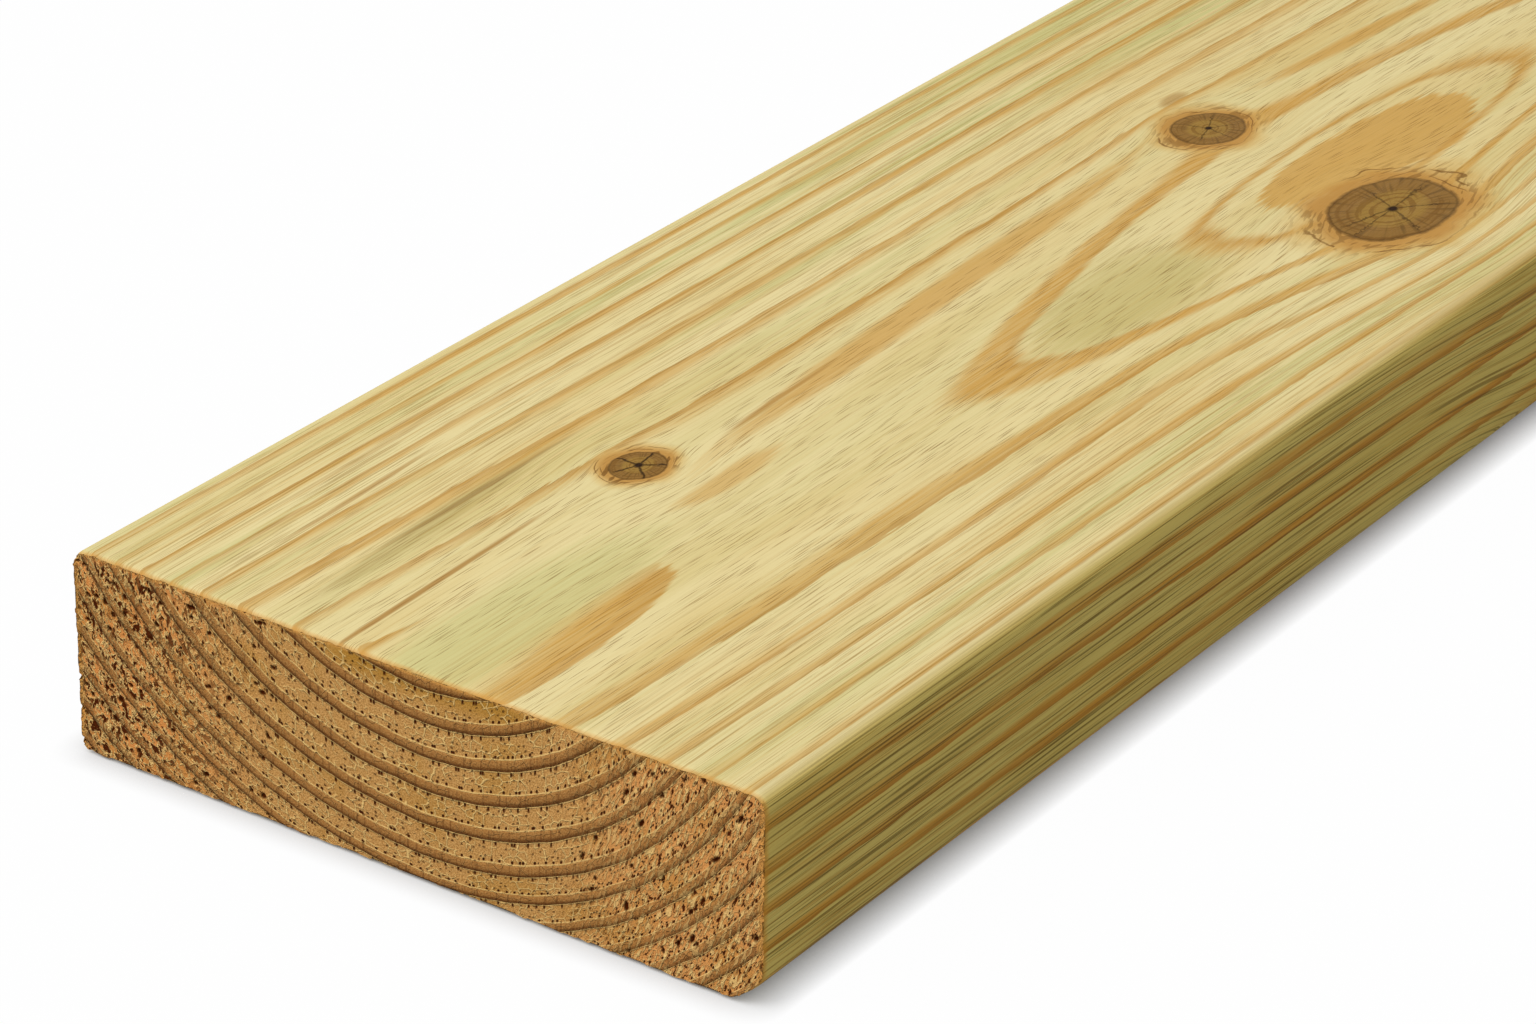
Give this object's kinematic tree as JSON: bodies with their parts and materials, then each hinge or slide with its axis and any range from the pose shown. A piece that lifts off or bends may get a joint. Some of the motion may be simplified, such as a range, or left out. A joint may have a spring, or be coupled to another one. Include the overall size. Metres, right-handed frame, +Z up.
{
  "type": "pressure-treated pine plank",
  "caption": "Long flat softwood plank of dressed rectangular section with eased arrises, one chamfered lower edge and square sawn ends, for decking, framing or trim.",
  "frame": {"origin": "centre of the underside, midway along the length", "axes": "+X along the length, +Y across the width, away from the chamfered edge, +Z up through the thickness"},
  "size_m": [2.438, 0.14, 0.038],
  "materials": {
    "treated_pine": "planed pale yellow-green faces with orange latewood stripes, rough sawn tan ends"
  },
  "bodies": {
    "root": {"plank": "treated_pine"}
  },
  "joints": []
}
